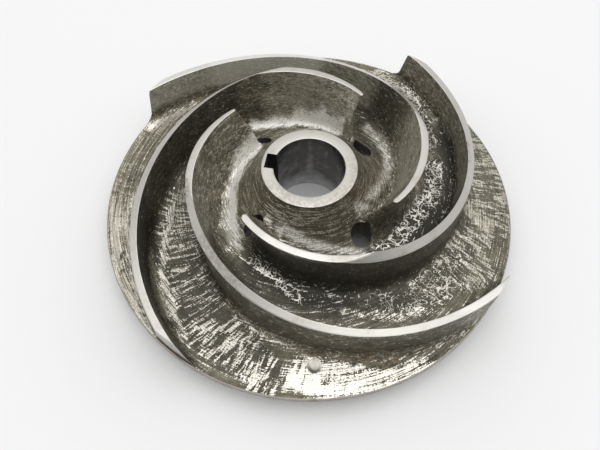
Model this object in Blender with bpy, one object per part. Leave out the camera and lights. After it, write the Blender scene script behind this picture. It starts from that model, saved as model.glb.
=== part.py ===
# Semi-open centrifugal pump impeller, one casting with four back-swept vanes.
# Metres, +Z up, bore on the Z axis, rear hub face resting at Z = 0.

from collections import namedtuple
from math import cos, pi, radians, sin

import bmesh
import bpy

MM = 0.001

# Turned body, radii from the bore axis and heights from the rear hub face
OUTSIDE_RADIUS = 152.4 * MM
BORE_RADIUS = 25.4 * MM
RIM_BACK_HEIGHT = 15.0 * MM
RIM_FRONT_HEIGHT = 20.0 * MM
HUB_FACE_RADIUS = 34.3 * MM
HUB_FACE_HEIGHT = 57.0 * MM
HUB_STEP = 2.5 * MM
HUB_STEP_FLARE = 0.6 * MM
HUB_BELL_RADIUS = 72.0 * MM
HUB_BELL_POWER = 2.2
HUB_BELL_POINTS = 8
FLOOR_CONE_RADIUS = 105.0 * MM
FLOOR_CONE_RISE = 8.0 * MM

# Back of the casting
REAR_HUB_RADIUS = 40.0 * MM
REAR_HUB_TAPER = 2.0 * MM
REAR_POCKET_HEIGHT = 20.0 * MM
REAR_RING_INNER_RADIUS = 66.0 * MM
REAR_RING_OUTER_RADIUS = 74.0 * MM
REAR_RING_HEIGHT = 9.0 * MM
REAR_RING_SINK = 1.0 * MM
REAR_EDGE_BREAK = 1.0 * MM

# Machined vane tips, level over the eye and then falling in a curve to the rim
EYE_TIP_HEIGHT = 72.0 * MM
EYE_TIP_RADIUS = 85.0 * MM
RIM_TIP_HEIGHT = 48.2 * MM
TIP_CURVE_POWER = 2.7

# Vanes, the centre line of a tip is radius = start + rate * turn + swell * turn ** 3
FIRST_VANE_ANGLE = radians(55.0)
VANE_PITCH = radians(90.0)
SPIRAL_START = 67.3 * MM
SPIRAL_RATE = 17.4 * MM
SPIRAL_SWELL = 0.95 * MM
LAST_TURN = radians(192.0)
VANE_END_RADIUS = 150.8 * MM
VANE_STATIONS = 28
VANE_THICKNESS = 5.3 * MM
EDGE_TAPER_TURN = radians(30.0)
FADE_POWER = 1.2
VANE_DRAFT = 1.2 * MM
ROOT_FILLET = 9.0 * MM
EYE_FILLET = 14.0 * MM
INNER_FILLET_TURNS = (radians(100.0), radians(160.0))
OUTER_FILLET_TURNS = (radians(0.0), radians(40.0))
FILLET_STEPS = 2
ROOT_LEAN = 12.0 * MM
LEAN_END_TURN = radians(110.0)
ROOT_SKEW = radians(6.0)
SKEW_END_TURN = radians(40.0)
FOOT_BITE = 0.6 * MM

# Hand-dressed inlet edges, one for each vane: where it starts and how thick it is there
InletEdge = namedtuple("InletEdge", "turn thickness")
INLET_EDGES = (
    InletEdge(turn=radians(-1.0), thickness=3.0 * MM),
    InletEdge(turn=radians(-1.5), thickness=2.6 * MM),
    InletEdge(turn=radians(-6.0), thickness=5.0 * MM),
    InletEdge(turn=radians(-1.0), thickness=3.6 * MM),
)

# Balance holes, drilled a little off an even spacing
BalanceHole = namedtuple("BalanceHole", "angle distance")
BALANCE_HOLES = (
    BalanceHole(angle=radians(41.0), distance=55.8 * MM),
    BalanceHole(angle=radians(129.5), distance=57.6 * MM),
    BalanceHole(angle=radians(222.0), distance=53.2 * MM),
    BalanceHole(angle=radians(311.5), distance=55.3 * MM),
)
BALANCE_HOLE_RADIUS = 7.5 * MM
BALANCE_CUT_TOP = 54.0 * MM

# Keyway in the bore
KEYWAY_WIDTH = 12.7 * MM
KEYWAY_DEPTH = 6.35 * MM
KEYWAY_ANGLE = radians(170.2)

# Facets
BODY_SEGMENTS = 72
HOLE_SEGMENTS = 20
CUTTER_MARGIN = 6.0 * MM
SHARP_ANGLE = radians(32.0)

CAST_COLOUR = (0.20, 0.19, 0.17, 1.0)
CAST_ROUGHNESS = 0.48
CAST_METALLIC = 0.85


def clear_scene():
    for item in list(bpy.data.objects):
        bpy.data.objects.remove(item, do_unlink=True)


def cast_metal():
    material = bpy.data.materials.new("cast_metal")
    material.use_nodes = True
    shader = material.node_tree.nodes["Principled BSDF"]
    shader.inputs["Base Color"].default_value = CAST_COLOUR
    shader.inputs["Roughness"].default_value = CAST_ROUGHNESS
    shader.inputs["Metallic"].default_value = CAST_METALLIC
    return material


def share_between(value, start, end):
    # 0 up to start, 1 from end on
    return min(max((value - start) / (end - start), 0.0), 1.0)


def hub_front(radius):
    # Height of the cast front face, a bell-shaped hub on a shallow cone that runs out into the disc
    inner = HUB_FACE_RADIUS + HUB_STEP_FLARE
    cone = FLOOR_CONE_RISE * (1.0 - share_between(radius, inner, FLOOR_CONE_RADIUS))
    bell_rise = HUB_FACE_HEIGHT - HUB_STEP - RIM_FRONT_HEIGHT - FLOOR_CONE_RISE
    bell = bell_rise * (1.0 - share_between(radius, inner, HUB_BELL_RADIUS)) ** HUB_BELL_POWER
    return RIM_FRONT_HEIGHT + cone + bell


def disc_back(radius):
    # Height of the cast back face, which rises a little from the rim to the balance ring
    ring_root = REAR_POCKET_HEIGHT - REAR_RING_SINK
    outward = share_between(radius, REAR_RING_OUTER_RADIUS, OUTSIDE_RADIUS)
    return ring_root + (RIM_BACK_HEIGHT - ring_root) * outward


def tip_height(radius):
    # Height of the machined vane tips
    outward = share_between(radius, EYE_TIP_RADIUS, OUTSIDE_RADIUS)
    drop = EYE_TIP_HEIGHT - RIM_TIP_HEIGHT
    return RIM_TIP_HEIGHT + drop * (1.0 - outward) ** TIP_CURVE_POWER


def fade(turn, end_turn):
    # 1 up to the inlet edge, 0 from end_turn on
    return (1.0 - share_between(turn, 0.0, end_turn)) ** FADE_POWER


def mesh_object(name, bm, material):
    mesh = bpy.data.meshes.new(name)
    bm.to_mesh(mesh)
    bm.free()
    mesh.materials.append(material)
    mesh.shade_smooth()
    mesh.set_sharp_from_angle(angle=SHARP_ANGLE)
    item = bpy.data.objects.new(name, mesh)
    bpy.context.scene.collection.objects.link(item)
    return item


def body_profile():
    # Closed outline of the turned body, front first and then the back, towards the bore
    points = [(BORE_RADIUS, HUB_FACE_HEIGHT), (HUB_FACE_RADIUS, HUB_FACE_HEIGHT)]
    inner = HUB_FACE_RADIUS + HUB_STEP_FLARE
    for step in range(HUB_BELL_POINTS + 1):
        radius = inner + (HUB_BELL_RADIUS - inner) * step / HUB_BELL_POINTS
        points.append((radius, hub_front(radius)))
    points.append((FLOOR_CONE_RADIUS, RIM_FRONT_HEIGHT))
    points.append((OUTSIDE_RADIUS, RIM_FRONT_HEIGHT))
    points.append((OUTSIDE_RADIUS, RIM_BACK_HEIGHT))
    points.append((REAR_RING_OUTER_RADIUS, disc_back(REAR_RING_OUTER_RADIUS)))
    points.append((REAR_RING_OUTER_RADIUS, REAR_RING_HEIGHT + REAR_EDGE_BREAK))
    points.append((REAR_RING_OUTER_RADIUS - REAR_EDGE_BREAK, REAR_RING_HEIGHT))
    points.append((REAR_RING_INNER_RADIUS, REAR_RING_HEIGHT))
    points.append((REAR_RING_INNER_RADIUS, REAR_POCKET_HEIGHT))
    points.append((REAR_HUB_RADIUS + REAR_HUB_TAPER, REAR_POCKET_HEIGHT))
    points.append((REAR_HUB_RADIUS, REAR_EDGE_BREAK))
    points.append((REAR_HUB_RADIUS - REAR_EDGE_BREAK, 0.0))
    points.append((BORE_RADIUS, 0.0))
    return points


def turned_body(material):
    bm = bmesh.new()
    corners = [bm.verts.new((radius, 0.0, height)) for radius, height in body_profile()]
    edges = []
    for index, corner in enumerate(corners):
        edges.append(bm.edges.new((corner, corners[(index + 1) % len(corners)])))
    bmesh.ops.spin(
        bm, geom=corners + edges, cent=(0.0, 0.0, 0.0), axis=(0.0, 0.0, 1.0),
        angle=2 * pi, steps=BODY_SEGMENTS, use_merge=True)
    bmesh.ops.recalc_face_normals(bm, faces=bm.faces)
    return mesh_object("impeller_casting", bm, material)


def fillet_curve(foot, corner, top):
    # Points of a curve that leaves the floor at foot and meets the wall at top
    points = []
    for step in range(FILLET_STEPS + 1):
        share = step / FILLET_STEPS
        weights = ((1 - share) ** 2, 2 * share * (1 - share), share ** 2)
        points.append(tuple(
            weights[0] * a + weights[1] * b + weights[2] * c
            for a, b, c in zip(foot, corner, top)))
    return points


def fillet_size(turn, side):
    # Larger at the inlet, and for longer on the side that faces the hub
    small_from = INNER_FILLET_TURNS if side < 0 else OUTER_FILLET_TURNS
    return EYE_FILLET + (ROOT_FILLET - EYE_FILLET) * share_between(turn, *small_from)


def vane_side(side, middle, root_middle, half, fillet):
    # One side of a slice as radius and height, from the middle of the disc up to the tip
    wall = root_middle + side * (half + VANE_DRAFT)
    foot = wall + side * fillet
    curve = fillet_curve(
        (foot, hub_front(foot) - FOOT_BITE),
        (wall, hub_front(wall) - FOOT_BITE),
        (wall, hub_front(wall) + fillet))
    root = (hub_front(foot) + disc_back(foot)) / 2
    edge = middle + side * half
    return [(foot, root)] + curve + [(edge, tip_height(edge))]


def vane_slice(turn, edge_thickness):
    # Inner and outer side of the slice whose tip stands at this turn along the spiral
    middle = SPIRAL_START + SPIRAL_RATE * turn + SPIRAL_SWELL * turn ** 3
    root_middle = middle - ROOT_LEAN * fade(turn, LEAN_END_TURN)
    skew = ROOT_SKEW * fade(turn, SKEW_END_TURN)
    taper = fade(turn, EDGE_TAPER_TURN)
    half = (VANE_THICKNESS + (edge_thickness - VANE_THICKNESS) * taper) / 2
    top = tip_height(middle)
    sides = []
    for side in (-1, 1):
        corners = []
        for radius, level in vane_side(side, middle, root_middle, half, fillet_size(turn, side)):
            angle = turn - skew * share_between(level, top, hub_front(radius))
            corners.append((radius * cos(angle), radius * sin(angle), level))
        sides.append(corners)
    return sides


def close_end(bm, sides):
    # Quads across the open end of a vane, from one side to the other
    inner, outer = sides
    for low in range(len(inner) - 1):
        bm.faces.new((inner[low], outer[low], outer[low + 1], inner[low + 1]))


def vane(index, inlet_edge, material):
    bm = bmesh.new()
    slices = []
    for station in range(VANE_STATIONS + 1):
        turn = inlet_edge.turn + (LAST_TURN - inlet_edge.turn) * station / VANE_STATIONS
        sides = vane_slice(turn, inlet_edge.thickness)
        slices.append([[bm.verts.new(corner) for corner in side] for side in sides])
    for (inner, outer), (next_inner, next_outer) in zip(slices, slices[1:]):
        ring = inner + outer[::-1]
        next_ring = next_inner + next_outer[::-1]
        for corner in range(len(ring)):
            after = (corner + 1) % len(ring)
            bm.faces.new((ring[corner], ring[after], next_ring[after], next_ring[corner]))
    close_end(bm, slices[0])
    close_end(bm, slices[-1])
    bmesh.ops.recalc_face_normals(bm, faces=bm.faces)
    blade = mesh_object("vane_%d" % (index + 1), bm, material)
    blade.rotation_euler = (0.0, 0.0, FIRST_VANE_ANGLE + index * VANE_PITCH)
    return blade


def cylinder_mesh(radius, low, high, segments, centre=(0.0, 0.0)):
    bm = bmesh.new()
    bmesh.ops.create_cone(
        bm, cap_ends=True, segments=segments, radius1=radius, radius2=radius, depth=high - low)
    bmesh.ops.translate(bm, verts=bm.verts, vec=(centre[0], centre[1], (low + high) / 2))
    return bm


def balance_hole_cutter(index, hole, material):
    centre = (hole.distance * cos(hole.angle), hole.distance * sin(hole.angle))
    bm = cylinder_mesh(BALANCE_HOLE_RADIUS, 0.0, BALANCE_CUT_TOP, HOLE_SEGMENTS, centre)
    return mesh_object("balance_hole_cutter_%d" % (index + 1), bm, material)


def keyway_cutter(material):
    bm = bmesh.new()
    bmesh.ops.create_cube(bm, size=1.0)
    reach = BORE_RADIUS + KEYWAY_DEPTH
    depth = HUB_FACE_HEIGHT + 2 * CUTTER_MARGIN
    bmesh.ops.scale(bm, verts=bm.verts, vec=(reach, KEYWAY_WIDTH, depth))
    bmesh.ops.translate(bm, verts=bm.verts, vec=(reach / 2, 0.0, HUB_FACE_HEIGHT / 2))
    cutter = mesh_object("keyway_cutter", bm, material)
    cutter.rotation_euler = (0.0, 0.0, KEYWAY_ANGLE)
    return cutter


def lathe_envelope(material):
    # What stands outside this cylinder is turned away from the vane ends
    bm = cylinder_mesh(
        VANE_END_RADIUS, -CUTTER_MARGIN, EYE_TIP_HEIGHT + CUTTER_MARGIN,
        BODY_SEGMENTS)
    envelope = mesh_object("lathe_envelope", bm, material)
    hide_helper(envelope)
    return envelope


def hide_helper(item):
    item.hide_render = True
    item.display_type = "WIRE"


def add_boolean(item, tool, operation):
    modifier = item.modifiers.new(tool.name, "BOOLEAN")
    modifier.operation = operation
    modifier.solver = "EXACT"
    modifier.object = tool


def build():
    clear_scene()
    metal = cast_metal()
    body = turned_body(metal)
    envelope = lathe_envelope(metal)
    for index, inlet_edge in enumerate(INLET_EDGES):
        blade = vane(index, inlet_edge, metal)
        add_boolean(blade, envelope, "INTERSECT")
        add_boolean(body, blade, "UNION")
        hide_helper(blade)
    for index, hole in enumerate(BALANCE_HOLES):
        cutter = balance_hole_cutter(index, hole, metal)
        add_boolean(body, cutter, "DIFFERENCE")
        hide_helper(cutter)
    slot = keyway_cutter(metal)
    add_boolean(body, slot, "DIFFERENCE")
    hide_helper(slot)


build()
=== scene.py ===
from math import cos, degrees, e, hypot, inf, pi, radians, sin, sqrt

import bmesh
import bpy
import numpy
from mathutils import Matrix, Vector, noise
from mathutils.bvhtree import BVHTree


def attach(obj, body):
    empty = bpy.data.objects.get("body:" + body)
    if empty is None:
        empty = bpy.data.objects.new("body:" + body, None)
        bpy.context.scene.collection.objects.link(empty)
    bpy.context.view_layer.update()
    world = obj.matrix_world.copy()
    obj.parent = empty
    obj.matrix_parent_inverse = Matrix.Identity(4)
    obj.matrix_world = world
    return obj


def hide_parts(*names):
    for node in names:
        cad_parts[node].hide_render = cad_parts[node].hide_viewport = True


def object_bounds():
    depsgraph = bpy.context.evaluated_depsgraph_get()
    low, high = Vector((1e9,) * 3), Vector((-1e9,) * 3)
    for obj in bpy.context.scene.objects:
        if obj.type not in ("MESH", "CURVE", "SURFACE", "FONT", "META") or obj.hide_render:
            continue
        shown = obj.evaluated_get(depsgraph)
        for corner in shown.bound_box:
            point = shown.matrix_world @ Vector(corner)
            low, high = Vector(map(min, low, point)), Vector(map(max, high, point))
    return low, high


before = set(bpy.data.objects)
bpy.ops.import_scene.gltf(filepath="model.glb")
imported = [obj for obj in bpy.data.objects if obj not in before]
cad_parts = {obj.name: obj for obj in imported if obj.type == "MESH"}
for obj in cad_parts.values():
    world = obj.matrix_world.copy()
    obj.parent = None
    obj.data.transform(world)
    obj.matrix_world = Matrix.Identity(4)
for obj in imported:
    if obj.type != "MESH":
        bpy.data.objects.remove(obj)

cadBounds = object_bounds()
mm = 0.001
print("frame loaded")


# small helpers

def between(value, start, end):         # 0 up to start, 1 from end on
    return min(max((value - start) / (end - start), 0.0), 1.0)


def blend(start, end, share):
    return start + (end - start) * share


def inMillimetres(metres):
    return round(float(metres) / mm, 1)


def writeMesh(bm, mesh, title):
    openEdges = sum(len(edge.link_faces) != 2 for edge in bm.edges)
    print("%s: %d points, %d faces, %d open edges" % (title, len(bm.verts), len(bm.faces), openEdges))
    bm.to_mesh(mesh)
    bm.free()


# the casting: turned body and vanes, all sizes in millimetres

casting = {
    "boreRadius": 25.4,
    "hubFaceRadius": 34.3,
    "hubFaceHeight": 57.0,
    "hubStep": 2.5,
    "hubStepFlare": 0.6,
    "boreEdge": 0.9,
    "hubClearance": 2.5,                # kept free between the step and the fillets of the vanes
    "bellRadius": 72.0,
    "bellPower": 2.2,                   # higher: the hub falls steeper beside its face
    "coneRadius": 105.0,
    "coneRise": 8.0,
    "rimRadius": inMillimetres(cadBounds[1][0]),
    "rimFront": 20.0,
    "rimBack": 15.0,
    "rimLand": 2.0,                     # the floor grid stops this far inside the rim
    "floorSpacing": 1.6,                # between the mesh points of the floor
    "mergeWithin": 0.004,
    "sharpAngle": 38.0,
}

back = {
    "pocketHeight": 20.0,
    "discRoot": 19.0,                   # back of the disc beside the balance ring
    "ringOuter": 74.0,
    "ringInner": 66.0,
    "ringHeight": 9.0,
    "hubRadius": 40.0,
    "hubTaper": 2.0,
    "cornerRound": 1.6,
    "edgeBreak": 1.0,
    "boreBreak": 0.8,
    "cornerInset": 0.3,                 # how far in the middle of a corner lies, as a share of its size
    "discSteps": 13,
    "pocketSteps": 4,
    "boreSteps": 6,
}

vanes = {
    "firstAngle": 55.0,
    "pitch": 90.0,
    # one for each vane: turn where it starts, thickness there, radius where the lathe ends it
    "inletTurn": (-1.0, -1.5, -6.0, -1.0),
    "inletThickness": (3.0, 2.6, 5.0, 3.6),
    "endRadius": (150.5, 151.5, 149.5, 151.0),
    "spiralStart": 67.3,
    "spiralRate": 17.4,
    "spiralSwell": 0.95,
    "thickness": 5.3,
    "taperTurn": 30.0,
    "fadePower": 1.2,
    "draft": 1.2,
    "fillet": 8.6,
    "eyeFillet": 14.0,                  # larger at the inlet and on the side of the hub
    # inner and outer side: turn where the fillet starts to get smaller, and where it is small
    "eyeFilletTurns": ((100.0, 160.0), (0.0, 40.0)),
    "leastFillet": 1.0,
    "filletSteps": 6,
    "wallSteps": 7,
    "tipSteps": 4,
    "edgeBreak": 0.5,
    "edgeShare": 0.7,                   # an edge break is at most this share of half the thickness
    "edgeInset": 0.29,
    "lean": 12.0,
    "leanTurn": 110.0,
    # one for each vane: degrees that its foot runs ahead of the tip at the inlet, and that its middle lags
    "twists": ((6.0, 4.0), (8.5, 0.0), (6.0, 0.0), (6.0, 0.0)),
    "twistTurn": 40.0,
    "twistFrom": (36.0, 47.0),          # none beside the hub face, all of it from here out
    "twistLeadIn": 46.0,                # turn ahead of the inlet over which the floor grid takes up the twist
    "twistHold": 10.0,                  # turn ahead of the inlet that has all of it
    "noseRound": 1.15,                  # length of the rounded inlet edge over half its thickness
    "eyeTip": inMillimetres(cadBounds[1][2]),
    "eyeTipRadius": 85.0,
    "rimTip": 48.2,
    "tipPower": 2.7,
    "lastTurn": 196.0,
    "leastEnd": 0.4,                    # a section that starts nearer its turned end than this is left out
    "endSteps": 4,
}
tinyTurn = 0.001                        # degrees


def floorHeight(radius):
    inner = casting["hubFaceRadius"] + casting["hubStepFlare"]
    cone = casting["coneRise"] * (1.0 - between(radius, inner, casting["coneRadius"]))
    bellRise = casting["hubFaceHeight"] - casting["hubStep"] - casting["rimFront"] - casting["coneRise"]
    bell = bellRise * (1.0 - between(radius, inner, casting["bellRadius"])) ** casting["bellPower"]
    return casting["rimFront"] + cone + bell


def backHeight(radius):
    outward = between(radius, back["ringOuter"], casting["rimRadius"])
    return blend(back["discRoot"], casting["rimBack"], outward)


def tipHeight(radius):
    outward = between(radius, vanes["eyeTipRadius"], casting["rimRadius"])
    return vanes["rimTip"] + (vanes["eyeTip"] - vanes["rimTip"]) * (1.0 - outward) ** vanes["tipPower"]


def fade(turn, endTurn):                # turns in degrees
    return (1.0 - between(turn, 0.0, endTurn)) ** vanes["fadePower"]


def spiralRadius(turn):
    turned = radians(turn)
    return vanes["spiralStart"] + vanes["spiralRate"] * turned + vanes["spiralSwell"] * turned ** 3


def twistShare(turn):                   # how much of its twist a vane has at this turn
    if turn < 0.0:
        return 1.0 - between(-turn, vanes["twistHold"], vanes["twistLeadIn"])
    return fade(turn, vanes["twistTurn"])


def filletSize(turn, side):             # side -1 towards the hub, 1 towards the rim
    start, end = vanes["eyeFilletTurns"][0 if side < 0 else 1]
    return blend(vanes["eyeFillet"], vanes["fillet"], between(turn, start, end))


def filletHeight(distance, size):       # height of the foot fillet at this distance from the wall
    return size * (1.0 - sqrt(min(distance / size, 1.0))) ** 2


def vaneAngle(index):
    return vanes["firstAngle"] + vanes["pitch"] * index


def noseLength(index):                  # in degrees of turn
    return degrees(vanes["noseRound"] * vanes["inletThickness"][index] / 2 / vanes["spiralStart"])


def bumpLength():                       # turn ahead of the inlet edge where its fillet starts
    return degrees(vanes["eyeFillet"] / (vanes["spiralStart"] - vanes["lean"]))


def vaneMiddles(turn):                  # radius of the middle of the tip, and of the root
    middle = spiralRadius(turn)
    return middle, middle - vanes["lean"] * fade(turn, vanes["leanTurn"])


def halfThickness(index, turn):         # behind the rounded inlet edge
    return blend(vanes["thickness"], vanes["inletThickness"][index], fade(turn, vanes["taperTurn"])) / 2


def noseShare(index, turn):             # share of the thickness that the rounded inlet edge has reached
    start = vanes["inletTurn"][index]
    into = between(turn, start, start + noseLength(index))
    return sqrt(max(1.0 - (1.0 - into) ** 2, 0.0))


def wallRows(low, rim, side, edge):     # up one wall and over the broken edge of the tip
    top = tipHeight(rim)
    rows = []
    for step in range(1, vanes["wallSteps"] + 1):
        share = step / vanes["wallSteps"]
        rows.append((blend(low[0], rim, share), blend(low[1], top - edge, share), "cast"))
    inset = edge * vanes["edgeInset"]
    inside = rim - side * edge
    return rows + [(rim - side * inset, top - inset, "tip"), (inside, tipHeight(inside), "tip")]


def vaneSection(index, turn):
    # points (order, radius, height, zone) from the inner foot over the tip to the outer foot
    start = vanes["inletTurn"][index]
    hasWall = turn > start - tinyTurn
    middle, rootMiddle = vaneMiddles(turn)
    wide, full = halfThickness(index, turn), noseShare(index, turn)
    half = wide * full
    hubEdge = casting["hubFaceRadius"] + casting["hubStepFlare"] + casting["hubClearance"]
    root = wide + vanes["draft"]
    ahead = radians(max(start - turn, 0.0)) * rootMiddle
    edge = min(vanes["edgeBreak"], half * vanes["edgeShare"])
    sides = []
    for side in (-1, 1):
        size = max(min(filletSize(turn, side), rootMiddle - root - hubEdge), vanes["leastFillet"])
        spread = size + root * (1.0 - full)
        wall = rootMiddle + side * root * full
        rows = []
        for step in range(vanes["filletSteps"] + 1):
            away = (1.0 - step / vanes["filletSteps"]) ** 2
            radius = wall + side * away * spread
            rows.append((radius, floorHeight(radius) + filletHeight(hypot(away * size, ahead), size), "cast"))
        if hasWall:
            rows += wallRows(rows[-1], middle + side * half, side, edge)
        sides.append(rows)
    points = [(order,) + row for order, row in enumerate(sides[0])]
    if hasWall:
        left, right = sides[0][-1][0], sides[1][-1][0]
        for step in range(1, vanes["tipSteps"] + 1):
            radius = blend(left, right, step / (vanes["tipSteps"] + 1))
            points.append((len(points), radius, tipHeight(radius), "tip"))
    last = sectionCount() - 1
    return points + [(last - order,) + row for order, row in reversed(list(enumerate(sides[1])))]


def sectionCount():                     # points across one vane from foot to foot
    return 2 * (vanes["filletSteps"] + vanes["wallSteps"] + 3) + vanes["tipSteps"]


def cutSection(points, endRadius):
    # the part of a section inside the turned end of the vane, and the point where it is cut
    kept = [points[0]]
    for before, after in zip(points, points[1:]):
        if after[1] > endRadius:
            share = between(endRadius, before[1], after[1])
            order, height, twist = (blend(before[i], after[i], share) for i in (0, 2, 4))
            cut = (order, endRadius, height, after[3], twist)
            return kept + [cut], cut
        kept.append(after)
    return kept, None


# stations round the axis and the closed outline at each

stations = {
    "overInlet": (0.0, 0.05, 0.17, 0.38, 0.66, 1.0),         # shares of the rounded inlet edge
    "aheadOfInlet": (0.4, 1.0, 1.8, 2.8, 4.0, 5.4, 7.0),     # turns in degrees
    "vaneEnd": 173.0,                   # from this turn on the vanes run out at the rim
    "endSpacing": 0.5,
    "endCount": 28,
    "fineGap": 0.3,                     # least turn between two stations
    "gap": 0.45,
}


def stationAngles():
    fixed, fine = [], []
    for index, start in enumerate(vanes["inletTurn"]):
        base = vaneAngle(index)
        fixed += [(base + start + share * noseLength(index)) % 360 for share in stations["overInlet"]]
        fine += [(base + start - ahead) % 360 for ahead in stations["aheadOfInlet"]]
        for step in range(stations["endCount"]):
            fine.append((base + stations["vaneEnd"] + step * stations["endSpacing"]) % 360)
    angles = sorted(fixed)
    everyDegree = [float(degree) for degree in range(360)]
    for leastGap, more in ((stations["fineGap"], fine), (stations["gap"], everyDegree)):
        for angle in more:
            gap = min(abs((angle - other + 180) % 360 - 180) for other in angles)
            if gap > leastGap:
                angles.append(angle)
    return sorted(angles)


def corner(radius, height, zone, *offsets):              # points round one corner of the outline
    return [(radius + across, height + up, zone) for across, up in offsets]


def hubOutline():
    bore, face, top = casting["boreRadius"], casting["hubFaceRadius"], casting["hubFaceHeight"]
    foot, edge = face + casting["hubStepFlare"], casting["boreEdge"]
    points = corner(bore, top, "bore", (0.0, -edge))
    points += corner(bore, top, "turned", (0.25, -0.28), (edge, 0.0))
    points.append((blend(bore, face, 0.5), top, "turned"))
    points += corner(face, top, "turned", (-0.7, 0.0), (-0.18, -0.2), (0.0, -0.7))
    points += corner(foot, top - casting["hubStep"], "cast", (-0.2, 0.5))
    points.append((foot + 0.35, floorHeight(foot + 0.35) - 0.1, "cast"))
    points.append((foot + 1.2, floorHeight(foot + 1.2), "cast"))
    return points


def rimOutline():
    rim, front, low = casting["rimRadius"], casting["rimFront"], casting["rimBack"]
    points = corner(rim, front, "rim", (-0.9, 0.0), (-0.25, -0.25), (0.0, -0.9))
    points.append((rim, (front + low) / 2, "rim"))
    points += corner(rim, low, "rim", (0.0, 0.7), (-0.2, 0.2))
    return points + corner(rim, low, "back", (-0.7, 0.0))


def backOutline():
    rim, outer, inner = casting["rimRadius"], back["ringOuter"], back["ringInner"]
    ring, pocket, hub = back["ringHeight"], back["pocketHeight"], back["hubRadius"]
    broken, rounded = back["edgeBreak"], back["cornerRound"]
    brokenIn, roundedIn = broken * back["cornerInset"], rounded * back["cornerInset"]
    foot, wall = backHeight(outer), hub + back["hubTaper"]
    points = []
    for step in range(1, back["discSteps"] + 1):
        radius = blend(rim, outer + rounded, step / back["discSteps"])
        points.append((radius, backHeight(radius), "back"))
    points += corner(outer, foot, "back", (roundedIn, -roundedIn), (0.0, -rounded))
    points += corner(outer, ring, "turned", (0.0, broken), (-brokenIn, brokenIn), (-broken, 0.0))
    points += corner(inner, ring, "turned", (broken, 0.0), (brokenIn, brokenIn), (0.0, broken))
    points += corner(inner, pocket, "back", (0.0, -rounded), (-roundedIn, -roundedIn), (-rounded, 0.0))
    for step in range(1, back["pocketSteps"] + 1):
        points.append((blend(inner - rounded, wall + rounded, step / back["pocketSteps"]), pocket, "back"))
    points += corner(wall, pocket, "back", (roundedIn, -roundedIn), (0.0, -rounded))
    points.append((blend(wall, hub, 0.5), blend(pocket, broken, 0.5), "back"))
    points += corner(hub, 0.0, "turned", (0.0, broken), (-brokenIn, brokenIn), (-broken, 0.0))
    return points + boreOutline()


def boreOutline():                      # from the rear face of the hub up to its front face
    bore, broken = casting["boreRadius"], back["boreBreak"]
    top = casting["hubFaceHeight"] - casting["boreEdge"]
    points = corner(bore, 0.0, "turned", (broken, 0.0), (broken / 4, broken / 4))
    for step in range(back["boreSteps"]):
        points.append((bore, blend(broken, top, step / back["boreSteps"]), "bore"))
    return points


def floorGap(start, end, twistAt):      # floor points from one foot to the next
    count = max(int(round((end - start) / casting["floorSpacing"])), 1)
    gap = []
    for step in range(1, count):
        radius = blend(start, end, step / count)
        gap.append((0.0, radius, floorHeight(radius), "cast", twistAt(radius)))
    return gap


def untwisted(points):
    return [(0.0,) + point + (0.0,) for point in points]


def twistedSection(index, turn):
    middle, rootMiddle = vaneMiddles(turn)
    top, floor = tipHeight(middle), floorHeight(rootMiddle)
    twist, lag = (amount * twistShare(turn) for amount in vanes["twists"][index])
    section = []
    for order, radius, height, zone in vaneSection(index, turn):
        down = between(height, top, floor)
        ahead = (twist * down - lag * sin(pi * down)) * between(radius, *vanes["twistFrom"])
        section.append((order, radius, height, zone, ahead))
    return section


def stationOutline(angle):
    # parts of the outline at one station: (name, points), a point is (order, radius, height, zone, twist)
    hub = untwisted(hubOutline())
    rimStart = casting["rimRadius"] - casting["rimLand"]
    lanes, anchors = [], [(hub[-1][1], 0.0)]
    for index, start in enumerate(vanes["inletTurn"]):
        turn = (angle - vaneAngle(index) + vanes["twistLeadIn"]) % 360 - vanes["twistLeadIn"]
        if turn > vanes["lastTurn"]:
            continue
        if abs(turn - start) < tinyTurn / 2:
            turn = start
        section = twistedSection(index, turn)
        feet = (section[0], section[-1]) if turn > start - tinyTurn else section
        anchors += [(point[1], point[4]) for point in feet]
        if turn > start - bumpLength():
            lanes.append((index, section))
    anchors.append((casting["rimRadius"], 0.0))
    anchors.sort()
    lanes.sort(key=lambda lane: lane[1][0][1])

    def twistOnFloor(radius):
        for (low, twistLow), (high, twistHigh) in zip(anchors, anchors[1:]):
            if radius <= high:
                return blend(twistLow, twistHigh, between(radius, low, high) if high > low else 0.0)
        return 0.0

    parts = [("hub", hub)]
    reach, ledge = hub[-1][1], rimStart
    for index, section in lanes:
        endRadius = vanes["endRadius"][index]
        if section[0][1] > endRadius - vanes["leastEnd"]:
            continue
        points, cut = cutSection(section, endRadius)
        parts.append(("gap", floorGap(reach, points[0][1], twistOnFloor)))
        parts.append((index, points))
        reach = points[-1][1]
        if cut:
            ledge = endRadius
            end = []
            for step in range(vanes["endSteps"] + 1):
                end.append((ledge, blend(cut[2], floorHeight(ledge), step / vanes["endSteps"]), "turned"))
            parts.append(("end", untwisted(end)))
    if ledge == rimStart:
        parts.append(("gap", floorGap(reach, ledge, twistOnFloor)))
    parts.append(("rim", untwisted([(ledge, floorHeight(ledge), "cast")] + rimOutline())))
    parts.append(("back", untwisted(backOutline())))
    return parts


# the mesh: neighbouring stations zipped together

zoneOf = {"cast": 0, "turned": 1, "tip": 1, "rim": 2, "back": 3, "bore": 4, "drilled": 5}
# how near in order, or in share of the way, two points lie that share a four-sided face
zipping = {"sameOrder": 1e-6, "sameShare": 0.45, "heightWeight": 0.001, "leastLength": 1e-9}


def segmentZone(first, second):
    if first == second:
        return zoneOf[first]
    if "cast" in (first, second):
        return zoneOf["cast"]
    return zoneOf[second]


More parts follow.
